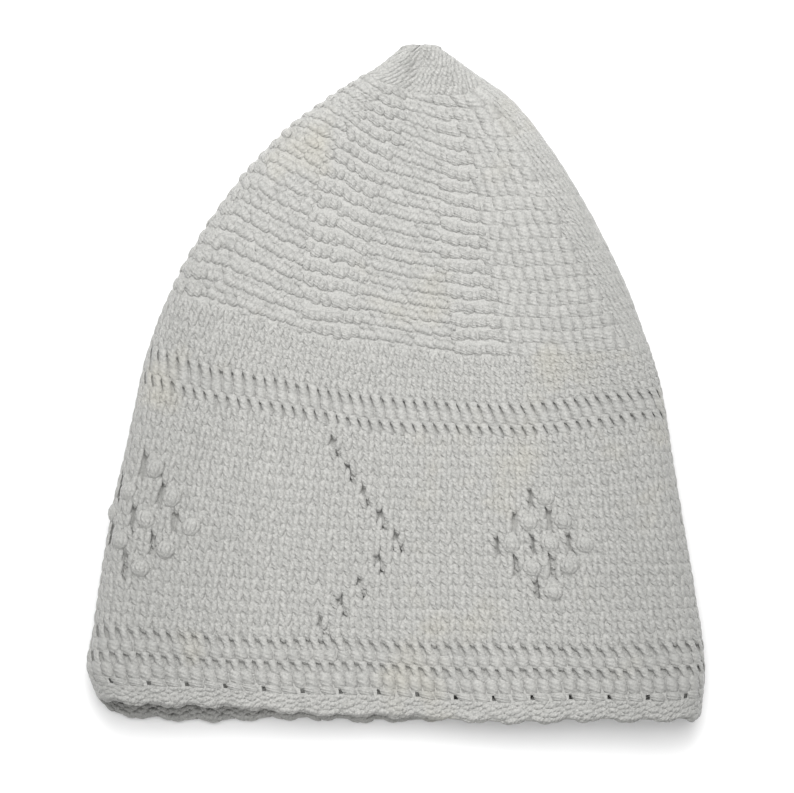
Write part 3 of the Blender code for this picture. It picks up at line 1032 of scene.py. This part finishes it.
class KUFI_OT_edging(bpy.types.Operator):
    """Crochets the posts, eyelets and scalloped hem on both sides of the cloth"""

    bl_idname = "kufi.edging"
    bl_label = "Edging"

    def execute(self, context):
        sizes = context.scene.kufi_sizes
        post = stitch("smooth_post", SMOOTH_POST)
        strand = stitch("hem_strand", HEM_STRAND, lying=True)
        height = sizes.height
        top = sizes.openwork_up - sizes.openwork_round / 2
        eyelet_top = sizes.eyelets_up + sizes.eyelet_height / 2
        hem_top = sizes.eyelets_up - sizes.eyelet_height / 2
        middle = up_from_rim(sizes, (top + eyelet_top) / 2)
        posts = even_round(sizes, Round(middle, (top - eyelet_top) / height))
        wide = EYELET_POST_WIDE / sizes.stitches
        middle = up_from_rim(sizes, sizes.eyelets_up)
        for hole in range(0, sizes.stitches, STITCHES_TO_A_SCALLOP):
            for aside in (-EYELET_POST_ASIDE, EYELET_POST_ASIDE):
                place = Place((hole + aside) / sizes.stitches, middle, wide, sizes.eyelet_height / height)
                posts.append(place._replace(thick=EYELET_POST_THICK))
        strands, around_edge = [], []
        tall = sizes.hem_strand / height
        rounds = fill_rounds(up_from_rim(sizes, hem_top), RIM_RING, sizes.hem_round / height)
        for k, one in enumerate(rounds):
            strands += even_round(sizes, Round(one.middle, tall), phase=HALF * (k % 2))
        for depth, up in HEM_EDGE:
            one = Round(up_from_rim(sizes, up), tall)
            around_edge += even_round(sizes, one, lift=-depth, phase=depth * HEM_SHIFT)
        batches = []
        for inside in (False, True):
            batches.append(batch(sizes, post, posts, 61, POST_STRAY, inside))
            batches.append(batch(sizes, strand, strands, 62, HEM_STRAY, inside))
        batches.append(batch(sizes, strand, around_edge, 63, HEM_STRAY))
        add_piece("edging", batches, 61)
        return {"FINISHED"}


class KUFI_OT_clusters(bpy.types.Operator):
    """Crochets the puffed clusters of the diamonds and the low bumps of the chevrons"""

    bl_idname = "kufi.clusters"
    bl_label = "Clusters"

    def execute(self, context):
        sizes = context.scene.kufi_sizes
        puff = stitch("puff", *puff_loops())
        tall = PUFF_TALL * band_rounds(sizes)[0].tall
        wide = 1 / sizes.stitches
        places = []
        for diamond in DIAMONDS:
            for around, down in diamond_places(sizes, diamond):
                places.append(Place(around, down, wide, tall, thick=PUFF_THICK))
            steps = chevron_places(sizes, diamond)
            around, down = steps[CHEVRON_STEPS]
            around += POINT_ASIDE * wide
            places.append(Place(around, down, wide, tall, -POINT_SUNK, BUMP_THICK))
            for around, down in steps:
                around += BUMP_ASIDE * wide
                places.append(Place(around, down, BUMP_WIDE * wide, tall, -BUMP_SUNK, BUMP_THICK))
        add_piece("clusters", [batch(sizes, puff, places, 71, PUFF_STRAY)], 71)
        return {"FINISHED"}


def puff_loops():
    """The ring tables of a cluster's loops, which spread at its middle and meet at its ends."""
    loops = []
    for k in range(PUFF_LOOPS):
        side = 2 * k / (PUFF_LOOPS - 1) - 1
        rings = []
        for down, share, wide in PUFF_RINGS:
            across = PUFF_WIDE * side * max(share, PUFF_LEAST)
            out = PUFF_OUT * share * (1 - PUFF_ROUND * side**2)
            rings.append(Ring(across, down, out, wide, wide))
        loops.append(rings)
    return loops


class KUFI_OT_cloth(bpy.types.Operator):
    """Makes the thin cloth behind the stitches, dented at slits and holes, open at eyelets"""

    bl_idname = "kufi.cloth"
    bl_label = "Cloth"

    def execute(self, context):
        sizes = context.scene.kufi_sizes
        down, slit_rows, eyelet_rows = cloth_rows(sizes)
        columns = CLOTH_COLUMNS * sizes.stitches
        around = np.arange(columns) / columns
        depth = np.full((len(down), columns), sizes.cloth_depth)
        beside_slit = np.arange(columns) % CLOTH_COLUMNS != 0
        slit_lines = np.append(slit_rows, False) | np.insert(slit_rows, 0, False)
        depth[slit_lines] += sizes.slit_depth * beside_slit
        depth[near(sizes, down, around, pattern_holes(sizes), DENT_REACH)] += sizes.hole_depth
        grid = on_cloth(sizes, down[:, None], around[None, :], -depth)
        cell_down = (down[1:] + down[:-1]) / 2
        cell_around = (np.arange(columns) + 0.5) / columns
        is_open = near(sizes, cell_down, cell_around, open_holes(sizes), CUT_REACH)
        eyelet_column = np.arange(columns) % (CLOTH_COLUMNS * STITCHES_TO_A_SCALLOP) == 0
        is_open[eyelet_rows] |= eyelet_column
        corner = np.arange(grid.shape[0] * columns).reshape(-1, columns)
        beside = np.roll(corner, -1, axis=1)
        faces = np.stack((corner[:-1], beside[:-1], beside[1:], corner[1:]), axis=-1)[~is_open]
        tip_point = outside(sizes, np.array(0.0), np.array(UPPER_MIDDLE))
        points = np.vstack((grid.reshape(-1, 3), tip_point - (0.0, sizes.cloth_depth, 0.0)))
        closing = [(k, len(points) - 1, (k + 1) % columns) for k in range(columns)]
        mesh = bpy.data.meshes.new("cloth")
        mesh.from_pydata(points.tolist(), [], faces.tolist() + closing)
        wall = finish_piece("cloth", mesh).modifiers.new("wall", "SOLIDIFY")
        wall.thickness = sizes.cloth_thickness
        wall.offset = -1.0
        return {"FINISHED"}


def near(sizes, down, around, holes, reach):
    """Which places of a grid lie within a reach, in stitches and rounds, of any hole."""
    inside = np.zeros((len(down), len(around)), dtype=bool)
    for around_hole, down_hole in holes:
        off = np.abs((around - around_hole + 0.5) % 1.0 - 0.5) * sizes.stitches
        below = np.abs(down - down_hole) * sizes.height / sizes.band_round
        inside |= (below[:, None] < reach[1]) & (off[None, :] < reach[0])
    return inside


def cloth_rows(sizes):
    """The cloth's rows of points, and which rows of faces hold slits and eyelets."""
    openings = []
    for up in (sizes.openwork_up, upper_openwork_up(sizes)):
        for step in (0, 1):
            openings.append((up + step * sizes.openwork_pitch, sizes.slit_height, "slit"))
    openings.append((sizes.eyelets_up, EYELET_SHARE * sizes.eyelet_height, "eyelet"))
    openings.sort(reverse=True)
    rows, kinds = [CLOTH_START * TIP_RING], []
    for up, tall, kind in openings:
        half, outer = tall / 2, tall / 2 + SLIT_SLOPE * tall
        for end, here in ((outer, "plain"), (half, "slope"), (-half, kind), (-outer, "slope")):
            add_rows(rows, kinds, up_from_rim(sizes, up + end), here, sizes)
    add_rows(rows, kinds, RIM_RING, "plain", sizes)
    kinds = np.array(kinds)
    return np.array(rows), kinds == "slit", kinds == "eyelet"


def add_rows(rows, kinds, end, kind, sizes):
    """Goes on from the last row of points to another depth in equal rows of faces."""
    count = max(1, math.ceil((end - rows[-1]) * sizes.height / CLOTH_ROW))
    rows += np.linspace(rows[-1], end, count + 1)[1:].tolist()
    kinds += [kind] * count


def aim(thing, target):
    """Turns a light towards a point."""
    direction = Vector(target) - thing.location
    thing.rotation_euler = direction.to_track_quat("-Z", "Y").to_euler()


def set_view(scene):
    """Adds the camera straight above the cap, which sees the frame's width across."""
    distance = FRAME_WIDTH * LENS / SENSOR
    bpy.ops.object.camera_add(location=(*VIEW_MIDDLE, VIEW_UP + distance), rotation=(0.0, 0.0, 0.0))
    camera = bpy.context.object
    camera.name = "camera"
    camera.data.lens = LENS
    camera.data.sensor_width = SENSOR
    camera.data.clip_end = FARTHEST
    scene.camera = camera


class KUFI_OT_stage(bpy.types.Operator):
    """Makes the floor, the lights and the camera"""

    bl_idname = "kufi.stage"
    bl_label = "Stage"

    def execute(self, context):
        colours = context.scene.kufi_colours
        deselect_all()
        bpy.ops.mesh.primitive_plane_add(size=FLOOR_SIZE, location=(0.0, 0.0, FLOOR_UP))
        floor = context.object
        floor.name = "floor"
        material = bpy.data.materials.new("pale_floor")
        material.use_nodes = True
        tree = material.node_tree
        inputs = {"Base Color": (*colours.floor, 1.0), "Roughness": FLOOR_ROUGHNESS}
        fill_inputs(tree, tree.nodes["Principled BSDF"], inputs)
        floor.data.materials.append(material)

        for lamp in LAMPS:
            bpy.ops.object.light_add(type="AREA", location=lamp.place)
            light = context.object
            light.name = lamp.name
            light.data.shape = "DISK"
            light.data.size = lamp.size
            light.data.energy = lamp.power
            aim(light, (0.0, 0.0, 0.0))

        world = bpy.data.worlds.new("soft_white")
        world.use_nodes = True
        tree = world.node_tree
        inputs = {"Color": (1.0, 1.0, 1.0, 1.0), "Strength": WORLD_STRENGTH}
        fill_inputs(tree, tree.nodes["Background"], inputs)
        context.scene.world = world
        context.scene.view_settings.view_transform = "Standard"

        set_view(context.scene)
        return {"FINISHED"}


OPERATORS = (
    KUFI_OT_stage,
    KUFI_OT_cloth,
    KUFI_OT_tip,
    KUFI_OT_crown,
    KUFI_OT_plain_rounds,
    KUFI_OT_openwork,
    KUFI_OT_band,
    KUFI_OT_inner_side,
    KUFI_OT_clusters,
    KUFI_OT_edging,
)


class KUFI_PT_panel(bpy.types.Panel):
    """Lists the cap's pieces in the sidebar"""

    bl_idname = "KUFI_PT_panel"
    bl_label = "Kufi cap"
    bl_space_type = "VIEW_3D"
    bl_region_type = "UI"
    bl_category = "Kufi cap"

    def draw(self, context):
        for operator in OPERATORS:
            self.layout.operator(operator.bl_idname)
        for group in (context.scene.kufi_sizes, context.scene.kufi_colours):
            for name in group.__annotations__:
                self.layout.prop(group, name)


CLASSES = (KufiSizes, KufiColours, *OPERATORS, KUFI_PT_panel)


def register():
    for item in CLASSES:
        bpy.utils.register_class(item)
    bpy.types.Scene.kufi_sizes = PointerProperty(type=KufiSizes)
    bpy.types.Scene.kufi_colours = PointerProperty(type=KufiColours)


def unregister():
    del bpy.types.Scene.kufi_colours
    del bpy.types.Scene.kufi_sizes
    for item in reversed(CLASSES):
        bpy.utils.unregister_class(item)


def main():
    """Registers the add-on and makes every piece."""
    register()
    for operator in OPERATORS:
        group, name = operator.bl_idname.split(".")
        getattr(getattr(bpy.ops, group), name)()


if __name__ == "__main__":
    main()
